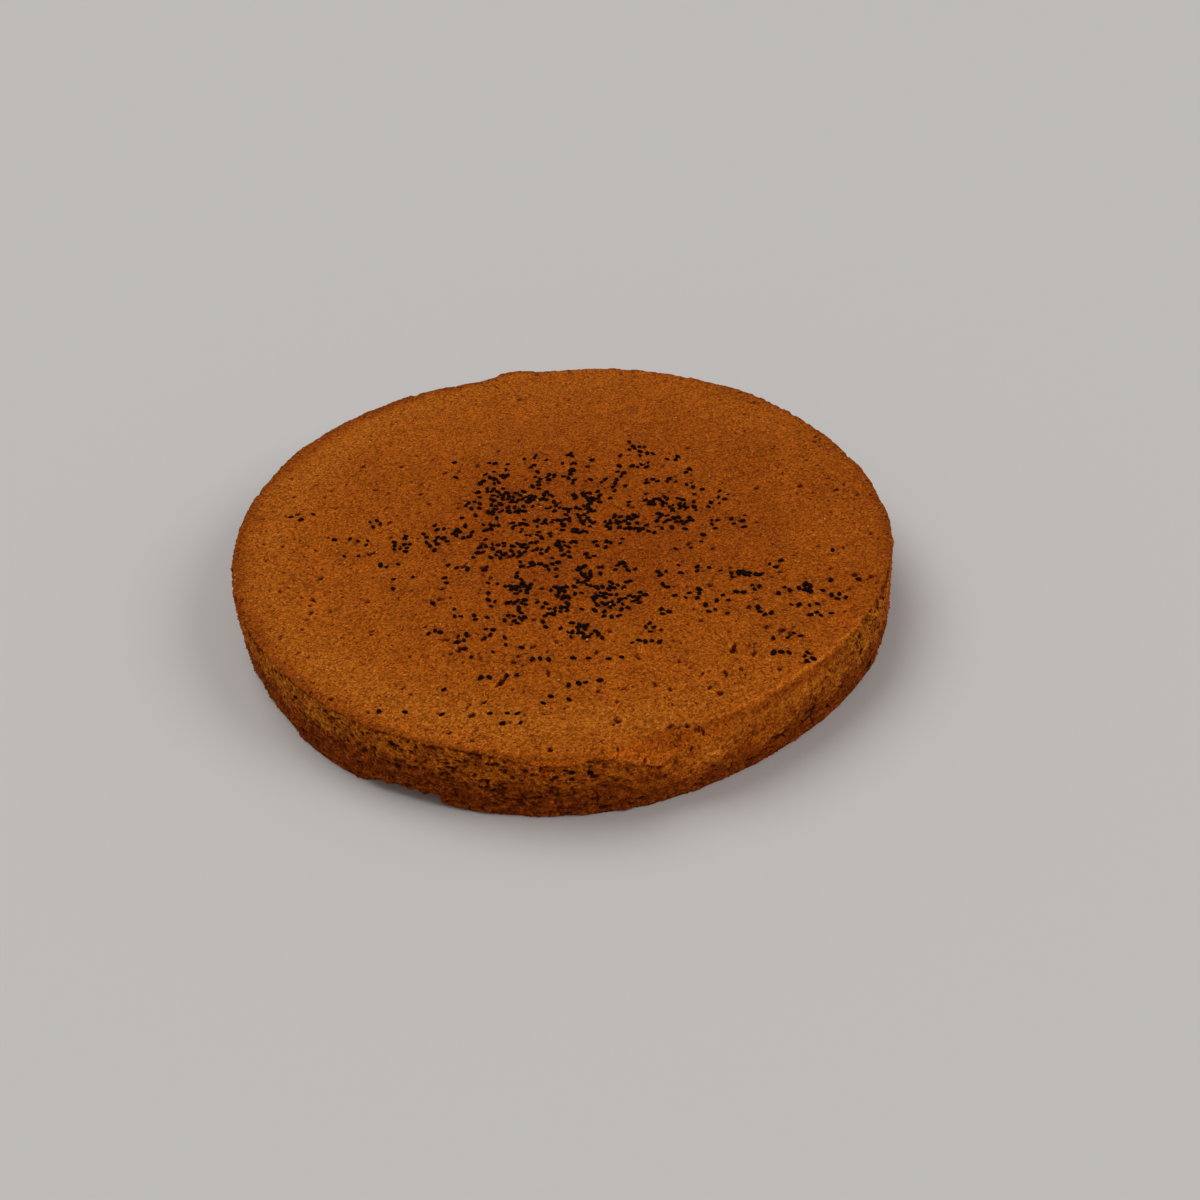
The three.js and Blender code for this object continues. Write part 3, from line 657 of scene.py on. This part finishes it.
def side_crust(points, angle, depth, past, rubbed):
    """The crust that comes down the side, as its relief and its colour: the crust's own relief, less the
    thumb's print, plus a torn lip on its border. The rubbed place has streaks along the rim, a ridge at its
    brink and a groove below."""
    height, pitted, edge = crust_relief(points, SIDE_PITS)
    printed, bright = [hump(way_round(angle, mark["at"], RADIUS), mark["along"])
                       * hump(depth - mark["below"], mark["down"]) for mark in (PRINT, BRIGHT)]
    lip = hump_on(angle, LIP) * hump(past - LIP["past"], LIP["across"])
    lip = lip * smooth_step(lumps(points, 2.4, 74), -0.5, 0.3)
    inward = rim_radius(angle) - radius_of(points)
    crest, groove = crest_of(points, np.hypot(shoulder_at(angle)[0] - inward, depth))
    streaks = lumps(points * CRACKED, 5, 62)
    height = height - PRINT["depth"] * printed + LIP["height"] * lip
    height = height + RUBBED["streaks"] * rubbed * streaks
    height = height + RIDGE["height"] * crest - GROOVE["depth"] * groove

    flap = smooth_step(depth, 0.5, 2) * (1 - rubbed) * (1 - pitted)
    bevel = blend(smooth_step(depth, 2, 6), BEVEL_RED, BEVEL_GOLD)
    bevel = bevel * (1 + RUBBED["streaks"] * streaks[:, None])
    tone = blend(flap, crust_tone(points, pitted, edge), FLAP_ORANGE)
    # Painted shade in the thumb's print, and a painted highlight on the crust beside it.
    tone = blend(PRINT["browned"] * printed, tone, PRINT_SHADE)
    tone = blend(BRIGHT["highlight"] * bright * (1 - pitted), tone, CREST_GOLD)
    tone = blend(rubbed * smooth_step(depth, 0.4, 1.4), tone, bevel)
    tone = blend(np.maximum(crest, lip), tone, CREST_GOLD)
    return height, blend(GROOVE["reddened"] * groove, tone, GROOVE_RED)


def crumb_pores(points, angle, dense, on_lump):
    """How deep the crumb's pores are: bubbles of three sizes, bent by lumps, and shallower where the crumb
    is dense or soft and on the wall's lump."""
    bent = points * LAYERED + PORE_BEND * shifts(points, 1.8, (75, 76, 77))
    airy = 0.7 + 0.3 * smooth_step(lumps(points, 17, 73), -0.5, 0.1)
    large = bubbles(bent, *LARGE_PORES) * (1 - dense)
    coarse = bubbles(bent, *COARSE_PORES) * (1 - 0.5 * dense) * airy
    pores = np.maximum(large, np.maximum(coarse, bubbles(bent, *FINE_PORES)))
    soft = hump_on(angle, SOFT)
    return pores * (1 - SOFT["closed"] * soft) * (1 - LUMP_CLOSED * on_lump)


def crumb_cracks(points, angle, level, dense, on_lump):
    """How far the crumb is cracked, from 0 to 1: flat cracks where flattened lumps pass through 0, in
    patches and mostly where it is dense, and the upright slit, a hump along the rim times one upwards."""
    cracks = 1 - smooth_step(np.abs(lumps(points * CRACKED, 6, 60)), 0.03, 0.16)
    cracks = cracks * smooth_step(lumps(points, 8, 61), -0.4, 0.2) * (0.3 + 0.7 * dense)
    sideways = way_round(angle, SLIT["at"], RADIUS) + SLIT["bend"] * lumps(points, 2, 78)
    slit = hump(sideways, SLIT["width"]) * hump(level - SLIT["level"], SLIT["tall"])
    return np.maximum(cracks * (1 - on_lump), slit)


def open_crumb(points, angle):
    """The open crumb of the side, as its relief, its colour and how hollow it is: lumps of four sizes and
    flakes, less pores and cracks. It has a painted highlight, gold where it stands proud, and painted
    shade, red where not, olive in places, pale on the wall's lump, dense and red low down, and painted
    shade, dark, in its hollows."""
    layered, level = points * LAYERED, points[:, 2]
    dense_level = DENSE["level"] + humps_at(angle, DENSE_MARKS) + layers_of(points, DENSE_PATCHES)
    dense = smooth_step(dense_level - level, -DENSE["soft"], DENSE["soft"])
    on_lump = on_wall_lump(angle, level)
    pores = crumb_pores(points, angle, dense, on_lump)
    cracks = crumb_cracks(points, angle, level, dense, on_lump)
    flakes = dense * lumps(points * FLAKED, 2.6, 69)
    body = 0.35 * lumps(points, 11, 34) + 0.32 * lumps(layered, 4.5, 35)
    grains = layers_of(layered, CRUMB_GRAINS)
    height = body + grains + CRUMB["flakes"] * flakes - CRUMB["pores"] * pores - CRUMB["cracks"] * cracks

    proud_highlight = smooth_step(grains - 0.5 * pores, -0.5, 0.4)
    olive = humps_at(angle, OLIVE) * (1 - dense)
    hollow = np.clip(np.maximum(pores, cracks), 0, 1)
    # Painted light: crumb that stands proud is painted gold as a highlight, the rest red as shade, with
    # random patches.
    tone = blend(proud_highlight + layers_of(points, CRUMB_PATCHES), WALL_RED_SHADE, WALL_GOLD_HIGHLIGHT)
    tone = blend(olive, tone, tone * OLIVE_SHIFT)
    # Painted highlight: the lump is painted pale where it stands proud.
    tone = blend(LUMP_PALE * on_lump * proud_highlight, tone, WALL_PALE)
    tone = blend(DENSE["reddened"] * dense, tone, DENSE_RED) * (1 + FLAKE_SHADE * flakes[:, None])
    # Hollows are painted dark brown: painted shade.
    return height, blend(smooth_step(hollow, 0.1, 0.7), tone, PORE_SHADE), hollow


def side_relief(points, facing):
    """How far the side's points move along their facing, their colour, and how crumbly they are: browned
    crust down to its ragged border, a torn seam under that with a painted shadow, and open crumb below, set
    back a little. The rim is chipped and the base edge crumbled by lumps, and what faces down stays flat."""
    angle, level = angles_of(points), points[:, 2]
    depth = top_height(points) - level
    rubbed = hump_on(angle, RUBBED)
    past, covered, seam = crust_border(points, angle, depth, rubbed)
    crust, crust_colour = side_crust(points, angle, depth, past, rubbed)
    crumb, crumb_colour, hollow = open_crumb(points, angle)
    opened = 1 - covered
    crumb = crumb - CRUMB["set_back"] * (1 - rubbed)
    crumbled = np.maximum(lumps(points, 4, 64), 0) * hump(level, CRUMBLED["tall"])
    moved = covered * crust + opened * crumb - SEAM["depth"] * seam
    moved = moved - CRUMBLED["depth"] * crumbled - rim_chips(points, depth)
    moved = moved * (1 - smooth_step(-facing[:, 2], 0.6, 0.98))
    # The seam is painted dark: a painted shadow.
    colour = blend(seam, blend(opened, crust_colour, crumb_colour), SEAM_SHADE)
    return moved, colour, opened * (1 - hollow)


def underside_skin():
    """The flat underside: a disc out to a strip's width from the base edge, with a few shallow pores that
    fade out before its rim, its colour with painted shade in the pores, and the numbers of the points on
    its rim."""
    share, angle, rim = disc_grid(UNDERSIDE_CELLS)
    foot = rim_radius(angle) - lean_depth(angle) - base_edge_radius(angle) - notch_depth(angle)
    points = round_points(share * (foot - UNDERSIDE_STRIP), angle, 0)
    pores = bubbles(points, *UNDER_PORES) * (1 - smooth_step(share, 0.97, 0.995))
    points[:, 2] = 0.6 * pores
    patchy = 0.5 + layers_of(points, UNDER_PATCHES)
    # Pores are painted dark brown: painted shade.
    return points, blend(pores / 1.5, blend(patchy, UNDER_DARK, UNDER_BROWN), PORE_SHADE), rim


def facings_of(points, face_groups):
    """The way each point's skin faces: the sum of the vector areas of the faces around it, as a unit."""
    summed = np.zeros_like(points)
    for faces in face_groups:
        corners = points[faces] - points[faces[:, :1]]
        area = np.cross(corners, np.roll(corners, -1, axis=1)).sum(axis=1)
        for axis in range(3):
            weights = np.repeat(area[:, axis], faces.shape[1])
            summed[:, axis] += np.bincount(faces.ravel(), weights, len(points))
    return summed / np.linalg.norm(summed, axis=1, keepdims=True)


def new_piece(name, points, faces, material, tone=None, facings=None):
    """A mesh object at the origin from points in millimetres, with smooth faces. Where given, each point
    has a colour and the way it faces."""
    mesh = bpy.data.meshes.new(name)
    mesh.from_pydata(points * MM, [], faces)
    mesh.polygons.foreach_set("use_smooth", np.ones(len(mesh.polygons), bool))
    if tone is not None:
        colours = np.column_stack([tone, np.ones(len(tone))]).astype(np.float32)
        mesh.attributes.new("tone", "FLOAT_COLOR", "POINT").data.foreach_set("color", colours.ravel())
    if facings is not None:
        mesh.normals_split_custom_set_from_vertices(facings)
    mesh.materials.append(material)
    mesh.update()
    piece = bpy.data.objects.new(name, mesh)
    bpy.context.scene.collection.objects.link(piece)
    return piece


def part_of_loaf(name, loaf, face_groups, material):
    """The faces of one part of the loaf, with only the points that they use."""
    used = np.unique(np.concatenate([faces.ravel() for faces in face_groups]))
    renumbered = np.zeros(len(loaf["points"]), np.int64)
    renumbered[used] = np.arange(len(used))
    kept = [face for faces in face_groups for face in renumbered[faces].tolist()]
    return new_piece(name, loaf["points"][used], kept, material, loaf["tone"][used], loaf["facings"][used])


def shape_loaf():
    """The whole loaf's skin: the top, then the side's rows below the rim, then the underside, with the
    faces of each part. The side starts on the top's rim and ends on a strip round the underside."""
    share, angle, rim = disc_grid(TOP_CELLS)
    top = round_points(share * (rim_radius(angle) - shoulder_at(angle)[0]), angle, 0)
    top[:, 2] = top_height(top)
    top_moved, top_tone = top_relief(top)
    top[:, 2] += top_moved

    side, facing = side_skin()
    side_moved, side_tone, crumbly = side_relief(side, facing)
    side = side + facing * side_moved[:, None]
    side[:, 2] = np.maximum(side[:, 2], 0)
    under, under_tone, under_rim = underside_skin()
    points = np.vstack([top, side, under])

    rows = np.vstack([rim, len(top) + np.arange(SIDE_ROWS * COLUMNS).reshape(SIDE_ROWS, COLUMNS)])
    rows = np.hstack([rows, rows[:, :1]])
    inner = len(top) + len(side) + np.append(under_rim, under_rim[0])
    outer = rows[-1]
    faces = {
        "top": grid_faces(disc_numbers(TOP_CELLS)),
        "side": grid_faces(rows.T),
        "strip": np.stack([outer[:-1:2], inner[:-1], inner[1:], outer[1::2]], axis=-1),
        "corners": np.stack([outer[1::2], inner[1:], outer[2::2]], axis=-1),
        "under": len(top) + len(side) + grid_faces(disc_numbers(UNDERSIDE_CELLS).T),
    }
    return {"points": points, "tone": np.vstack([top_tone, side_tone, under_tone]), "faces": faces,
            "facings": facings_of(points, faces.values()), "top": np.arange(len(top)),
            "side": len(top) + np.arange(len(side)), "crumbly": crumbly}


def bread_pieces(loaf, material):
    """The loaf in five pieces that meet edge to edge: the crust and side in halves, and the underside."""
    faces = loaf["faces"]
    crust_front, crust_back = np.split(faces["top"], 2)
    side_back, side_front = np.split(faces["side"], 2)
    parts = {
        "browned_crust_front": [crust_front],
        "browned_crust_back": [crust_back],
        "torn_side_front": [side_front],
        "torn_side_back": [side_back],
        "flat_underside": [faces["under"], faces["strip"], faces["corners"]],
    }
    return [part_of_loaf(name, loaf, groups, material) for name, groups in parts.items()]


def even_draws():
    """Even draws between 0 and 1 from one fixed start: each is what is left of the last times a factor,
    once divided by a large prime."""
    state = DRAWS["start"]
    while True:
        state = state * DRAWS["factor"] % DRAWS["modulus"]
        yield state / DRAWS["modulus"]


def strew_seeds():
    """Strews every pinch: a seed falls around the pinch's middle or clings to the one before it, and is
    kept where it lies clear. Gives x, y, heading and size, one row for each seed."""
    draws = even_draws()
    lying = []

    def draw_near():
        """A draw round 0, likeliest near it: two even draws added."""
        return FURTHEST_DRAW * (next(draws) + next(draws) - 1)

    def place_seed(x, y, wide, deep, before):
        """A place round the pinch's middle, or a drawn step away from the seed before."""
        if before is None or next(draws) > CLING["share"]:
            return x + wide * draw_near(), y + deep * draw_near()
        heading = 2 * math.pi * next(draws)
        step = CLING["near"] + (CLING["far"] - CLING["near"]) * next(draws)
        return before[0] + step * math.cos(heading), before[1] + step * math.sin(heading)

    def lies_clear(place, clearance):
        """Whether a place is far enough from every seed that lies, and on the top."""
        apart = all(math.dist(place, seed[:2]) > clearance for seed in lying)
        return apart and math.hypot(*place) < STREWN_RADIUS

    for x, y, wide, deep, count in PINCHES:
        before = None
        clearance = CLEARANCE["small" if count < FULL_PINCH else "full"]
        for _ in range(count):
            for _ in range(ATTEMPTS):
                place = place_seed(x, y, wide, deep, before)
                clear = lies_clear(place, clearance)
                if clear:
                    break
            heading = 2 * math.pi * next(draws)
            size = 1 + SEED["uneven"] * draw_near()
            if clear:
                before = (*place, heading, size)
                lying.append(before)
    return np.array(lying)


def seed_skin():
    """One seed of half size 1 along x: rings of a rounded triangle between two points, whose radius is a
    half sine along the seed, fuller towards one end."""
    along = np.linspace(0, 1, SEED_RINGS + 2)[1:-1, None]
    around = np.linspace(0, 2 * math.pi, SEED_SIDES, endpoint=False)
    radius = np.sin(math.pi * along) ** SEED_OUTLINE["power"]
    radius = radius * (SEED_OUTLINE["full"] - SEED_OUTLINE["taper"] * along)
    radius = radius * (1 + SEED_OUTLINE["corners"] * np.cos(3 * around))
    length = -np.cos(math.pi * along) + 0 * around
    rings = np.stack([length, radius * np.cos(around), radius * np.sin(around)], axis=-1)
    points = np.vstack([[[-1, 0, 0]], rings.reshape(-1, 3), [[1, 0, 0]]])
    numbers = 1 + np.arange(SEED_RINGS * SEED_SIDES).reshape(SEED_RINGS, SEED_SIDES)
    onward = np.roll(numbers, -1, axis=1)
    quads = np.stack([numbers[:-1], onward[:-1], onward[1:], numbers[1:]], axis=-1).reshape(-1, 4)
    last = len(points) - 1
    start = [[0, int(b), int(a)] for a, b in zip(numbers[0], onward[0])]
    end = [[last, int(a), int(b)] for a, b in zip(numbers[-1], onward[-1])]
    return points, quads.tolist() + start + end


def repeated(faces, size, count):
    """The faces of one small shape, numbered again for each copy of it."""
    return [[corner + size * copy for corner in face] for copy in range(count) for face in faces]


def seed_piece(material):
    """Every seed as one mesh. On top each lies along its heading with a slight tilt, partly sunk in the
    crust. On the wall each lies along the rim."""
    x, y, heading, size = strew_seeds().T
    chance = np.random.default_rng(DRAWS["start"])
    middles = np.stack([x, y, 0 * x], axis=1)
    middles[:, 2] = top_height(middles)
    middles[:, 2] += broad_relief(middles) + SEED_RISE * SEED["height"] * size
    tilt = np.radians(chance.normal(0, SEED_TILT, len(size)))
    along = round_points(np.cos(tilt), np.degrees(heading), np.sin(tilt))
    out = np.tile([0.0, 0.0, 1.0], (len(size), 1))

    wall_angle, wall_level = np.array(WALL_SEEDS).T
    middles = np.vstack([middles, round_points(rim_radius(wall_angle), wall_angle, wall_level)])
    along = np.vstack([along, round_points(1, wall_angle + 90, 0)])
    out = np.vstack([out, round_points(1, wall_angle, 0)])
    size = np.append(size, np.ones(len(WALL_SEEDS)))

    across = np.cross(out, along)
    across /= np.linalg.norm(across, axis=1, keepdims=True)
    out = np.cross(along, across)
    skin, faces = seed_skin()
    axes = np.stack([SEED["length"] * along, SEED["width"] * across, SEED["height"] * out], axis=1)
    points = middles[:, None] + size[:, None, None] * np.einsum("vk,skx->svx", skin, axes)
    return new_piece("dark_seeds", points.reshape(-1, 3), repeated(faces, len(skin), len(size)), material)


def grain_skin():
    """A grain of radius 1 with twenty faces: two points and two rings of five turned half a step apart."""
    low = round_points(2 / math.sqrt(5), np.arange(5) * 72, -1 / math.sqrt(5))
    points = np.vstack([[[0, 0, -1]], low, -low, [[0, 0, 1]]])
    faces = []
    for step in range(5):
        onward = (step + 1) % 5
        between, following = 6 + (step + 3) % 5, 6 + (step + 4) % 5
        faces += [[0, 1 + onward, 1 + step], [1 + step, 1 + onward, between],
                  [1 + onward, following, between], [11, between, following]]
    return points, faces


def crumb_piece(name, hosts, loaf, sizes, chance, material):
    """Loose grains on the loaf's skin: each sits a third sunk at its host point, stretched and dented by
    drawn shares, and takes its host's colour made lighter as a painted highlight."""
    skin, faces = grain_skin()
    radius = sizes["smallest"] + (sizes["largest"] - sizes["smallest"]) * chance.random(len(hosts)) ** 2
    dented = chance.uniform(*CRUMB_DENTS, (len(hosts), len(skin), 1))
    stretched = chance.uniform(*CRUMB_STRETCH, (len(hosts), 1, 3))
    middles = loaf["points"][hosts] + CRUMB_RISE * radius[:, None] * loaf["facings"][hosts]
    points = middles[:, None] + radius[:, None, None] * dented * stretched * skin
    points[..., 2] = np.maximum(points[..., 2], 0)
    tone = np.repeat(LOOSE_HIGHLIGHT * loaf["tone"][hosts], len(skin), axis=0)
    return new_piece(name, points.reshape(-1, 3), repeated(faces, len(skin), len(hosts)), material, tone)


def crumb_pieces(loaf, bread, pale):
    """Crumbs on the open side and along its base edge, and pale ones strewn on the top."""
    chance = np.random.default_rng(DRAWS["start"] + 1)
    side = loaf["side"]
    opened = side[loaf["crumbly"] > WALL_CRUMBS["crumbly"]]
    low = loaf["points"][side, 2] < BASE_CRUMBS["below"]
    base = side[low & (loaf["facings"][side, 2] > BASE_CRUMBS["facing"])]
    kinds = (("torn_crumbs", opened, WALL_CRUMBS, bread), ("base_crumbs", base, BASE_CRUMBS, bread),
             ("pale_crumbs", loaf["top"], PALE_CRUMBS, pale))
    pieces = []
    for name, hosts, sizes, material in kinds:
        chosen = chance.choice(hosts, sizes["count"], replace=False)
        pieces.append(crumb_piece(name, chosen, loaf, sizes, chance, material))
    return pieces


class Paint:
    """Makes nodes in one tree. Each call gives the new node or its output socket, and takes numbers,
    colours or other sockets as inputs. Sizes are in millimetres."""

    def __init__(self, tree):
        self.tree = tree

    def feed(self, socket, value):
        if isinstance(value, bpy.types.NodeSocket):
            self.tree.links.new(value, socket)
        else:
            socket.default_value = value

    def node(self, kind, settings=None, inputs=None):
        made = self.tree.nodes.new(kind)
        for name, value in (settings or {}).items():
            setattr(made, name, value)
        for name, value in (inputs or {}).items():
            self.feed(made.inputs[name], value)
        return made

    def place(self):
        return self.node("ShaderNodeTexCoord").outputs["Object"]

    def noise(self, size, detail, seed):
        inputs = {"Vector": self.place(), "W": seed, "Scale": 1 / (size * MM), "Detail": detail}
        return self.node("ShaderNodeTexNoise", {"noise_dimensions": "4D"}, inputs).outputs[0]

    def span(self, value, low, high):
        inputs = {"Value": value, "From Min": low, "From Max": high}
        return self.node("ShaderNodeMapRange", {"interpolation_type": "SMOOTHSTEP"}, inputs).outputs[0]

    def work_out(self, operation, first, second):
        return self.node("ShaderNodeMath", {"operation": operation}, {0: first, 1: second}).outputs[0]

    def mix(self, share, first, second, manner="MIX"):
        settings = {"data_type": "RGBA", "blend_type": manner}
        return self.node("ShaderNodeMix", settings, {0: share, 6: first, 7: second}).outputs[2]

    def bump(self, height, strength, distance):
        inputs = {"Strength": strength, "Distance": distance * MM, "Height": height}
        return self.node("ShaderNodeBump", None, inputs).outputs[0]


def grain_group():
    """Sandy grain: cells of drawn shade with patches of noise under them and a few that sparkle, as a
    colour to multiply by, and the cells' mounds as a height."""
    group = bpy.data.node_groups.new("sandy grain", "ShaderNodeTree")
    for name, in_out, kind in (("Size", "INPUT", "Float"), ("Spread", "INPUT", "Float"),
                               ("Shade", "OUTPUT", "Color"), ("Height", "OUTPUT", "Float")):
        group.interface.new_socket(name, in_out=in_out, socket_type="NodeSocket" + kind)
    paint = Paint(group)
    given = paint.node("NodeGroupInput").outputs
    result = paint.node("NodeGroupOutput").inputs
    place = paint.place()
    fine_scale = paint.work_out("DIVIDE", 1 / MM, given["Size"])
    coarse_scale = paint.work_out("DIVIDE", fine_scale, GRAIN_PATCH)
    grains = paint.node("ShaderNodeTexVoronoi", None, {"Vector": place, "Scale": fine_scale}).outputs
    patches = paint.node("ShaderNodeTexNoise", None, {"Vector": place, "Scale": coarse_scale}).outputs[0]
    draws = paint.node("ShaderNodeSeparateColor", None, {"Color": grains["Color"]}).outputs
    both = paint.work_out("MULTIPLY", paint.work_out("ADD", draws["Red"], patches), 0.5)
    low = paint.work_out("SUBTRACT", 0.5, given["Spread"])
    high = paint.work_out("ADD", 0.5, given["Spread"])
    shade = paint.mix(paint.span(both, low, high), GRAIN_DARK, GRAIN_LIGHT)
    sparkle = paint.span(draws["Green"], *SPARKLING)
    paint.feed(result["Shade"], paint.mix(sparkle, shade, GRAIN_SPARK))
    paint.feed(result["Height"], paint.work_out("SUBTRACT", 1.0, grains["Distance"]))
    return group


def new_material(name, finish):
    """A material with a finish's values on its shader, and the tools to paint it."""
    material = bpy.data.materials.new(name)
    material.use_nodes = True
    shader = material.node_tree.nodes["Principled BSDF"]
    for socket, value in finish.items():
        shader.inputs[socket].default_value = value
    return material, shader, Paint(material.node_tree)


def lay_grain(paint, shader, grain, colour, sand):
    """Sandy grain over a colour: its shade multiplies the colour, and its height is a bump."""
    inputs = {"Size": sand["size"], "Spread": sand["spread"]}
    laid = paint.node("ShaderNodeGroup", {"node_tree": grain}, inputs).outputs
    paint.feed(shader.inputs["Base Color"], paint.mix(1.0, colour, laid["Shade"], "MULTIPLY"))
    paint.feed(shader.inputs["Normal"], paint.bump(laid["Height"], sand["strength"], sand["height"]))


def bread_material(grain):
    """Baked bread: the colour that each point carries, with dark flecks and sandy grain over it."""
    material, shader, paint = new_material("baked bread", DULL)
    tone = paint.node("ShaderNodeAttribute", {"attribute_name": "tone"}).outputs["Color"]
    flecks = paint.span(paint.noise(FLECK_SIZE, 1.0, 7.0), *FLECKED)
    lay_grain(paint, shader, grain, paint.mix(flecks, tone, FLECK, "MULTIPLY"), BREAD_SAND)
    return material


def plain_material(name, grain, finish, colour, sand):
    """One colour with sandy grain over it."""
    material, shader, paint = new_material(name, finish)
    lay_grain(paint, shader, grain, colour, sand)
    return material


def floor_piece():
    """A plain pale floor that curves up far away: level out to a radius, and then as high as the square of
    the share of the way to its rim."""
    material, shader, _ = new_material("pale floor", DULL)
    shader.inputs["Base Color"].default_value = FLOOR_PALE
    share, angle, _ = disc_grid(FLOOR["cells"])
    radius = share * FLOOR["reach"]
    risen = np.clip((radius - FLOOR["level"]) / (FLOOR["reach"] - FLOOR["level"]), 0, 1)
    points = round_points(radius, angle, FLOOR["rise"] * risen ** 2)
    return new_piece("floor", points, grid_faces(disc_numbers(FLOOR["cells"])).tolist(), material)


def soft_light(name, place, width, strength):
    """Even light from the direction of a place, as soft as a window that many degrees wide."""
    light = bpy.data.lights.new(name, "SUN")
    light.angle = math.radians(width)
    light.energy = strength
    lamp = bpy.data.objects.new(name, light)
    lamp.location = place
    lamp.rotation_euler = (-Vector(place)).to_track_quat("-Z", "Y").to_euler()
    bpy.context.scene.collection.objects.link(lamp)


def add_lights():
    """Soft light from high at the back left, a weaker one from the right, and a dim even room."""
    for window in WINDOWS:
        soft_light(*window)
    world = bpy.data.worlds.new("dim room")
    world.use_nodes = True
    for socket, value in ROOM.items():
        world.node_tree.nodes["Background"].inputs[socket].default_value = value
    bpy.context.scene.world = world
    bpy.context.scene.view_settings.view_transform = "Standard"


def add_camera():
    """Looks at the target from the front, at the elevation and distance given, rolled about its view."""
    elevation, roll = math.radians(CAMERA["elevation"]), math.radians(CAMERA["roll"])
    back = Vector((0, -math.cos(elevation), math.sin(elevation)))
    right = Vector((1, 0, 0))
    up = back.cross(right)
    turned_right = math.cos(roll) * right + math.sin(roll) * up
    turned_up = math.cos(roll) * up - math.sin(roll) * right
    data = bpy.data.cameras.new("camera")
    data.lens = CAMERA["lens"]
    camera = bpy.data.objects.new("camera", data)
    place = (Vector(CAMERA["target"]) + CAMERA["distance"] * back) * MM
    turn = Matrix((turned_right, turned_up, back)).transposed().to_4x4()
    camera.matrix_world = Matrix.Translation(place) @ turn
    bpy.context.scene.collection.objects.link(camera)
    bpy.context.scene.camera = camera


grain = grain_group()
bread = bread_material(grain)
loaf = shape_loaf()
pieces = bread_pieces(loaf, bread)
pieces.append(seed_piece(plain_material("dark seed coat", grain, SEED_COAT, SEED_BLACK, SEED_SAND)))
pieces += crumb_pieces(loaf, bread, plain_material("pale crumb", grain, DULL, CRUMB_PALE, PALE_SAND))
for piece in pieces:
    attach(piece, "root")
    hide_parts("sweet_bread")
floor_piece()
add_lights()
add_camera()
